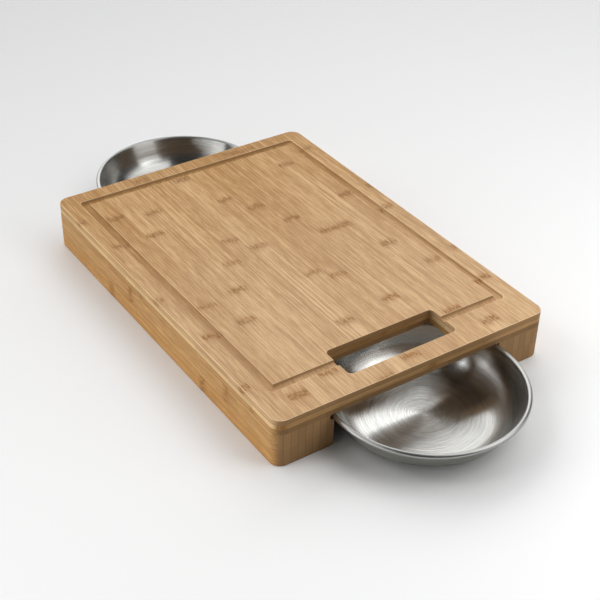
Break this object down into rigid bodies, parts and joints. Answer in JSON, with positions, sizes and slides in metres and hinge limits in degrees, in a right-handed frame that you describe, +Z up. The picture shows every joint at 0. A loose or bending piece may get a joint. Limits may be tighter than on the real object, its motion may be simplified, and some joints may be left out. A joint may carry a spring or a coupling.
{
  "type": "cutting board with sliding bowls",
  "caption": "Thick laminated bamboo cutting board with a juice groove and a scrap chute, over open bays in which round brushed steel bowls slide out on their rolled rims.",
  "frame": {"origin": "centre of the board's underside, on the crossbar between the bays", "axes": "+Z up, +Y along the board from the chute end to the other end, +X to the right seen from the chute end"},
  "size_m": [0.32, 0.662, 0.0542],
  "materials": {
    "face_bamboo": "oiled bamboo, strips along the board",
    "core_bamboo": "oiled bamboo, strips across the board",
    "base_bamboo": "oiled bamboo, strips along the board",
    "rail_bamboo": "oiled bamboo slats on edge",
    "crossbar_bamboo": "oiled bamboo slats on edge",
    "bowl_steel": "brushed in circles, polished rim"
  },
  "bodies": {
    "board": {"top_ply": "face_bamboo", "core_ply": "core_bamboo", "bottom_ply": "base_bamboo", "left_rail_upper": "rail_bamboo", "left_rail_lower": "rail_bamboo", "right_rail_upper": "rail_bamboo", "right_rail_lower": "rail_bamboo", "crossbar_upper": "crossbar_bamboo", "crossbar_lower": "crossbar_bamboo"},
    "front_bowl": {"front_bowl": "bowl_steel"},
    "rear_bowl": {"rear_bowl": "bowl_steel"}
  },
  "joints": [
    {"name": "front_bowl_slide", "type": "slide", "parent": "board", "child": "front_bowl", "axis": [0, -1, 0], "range_m": [-0.1125, 0.094]},
    {"name": "rear_bowl_slide", "type": "slide", "parent": "board", "child": "rear_bowl", "axis": [0, 1, 0], "range_m": [-0.1025, 0.104]}
  ]
}
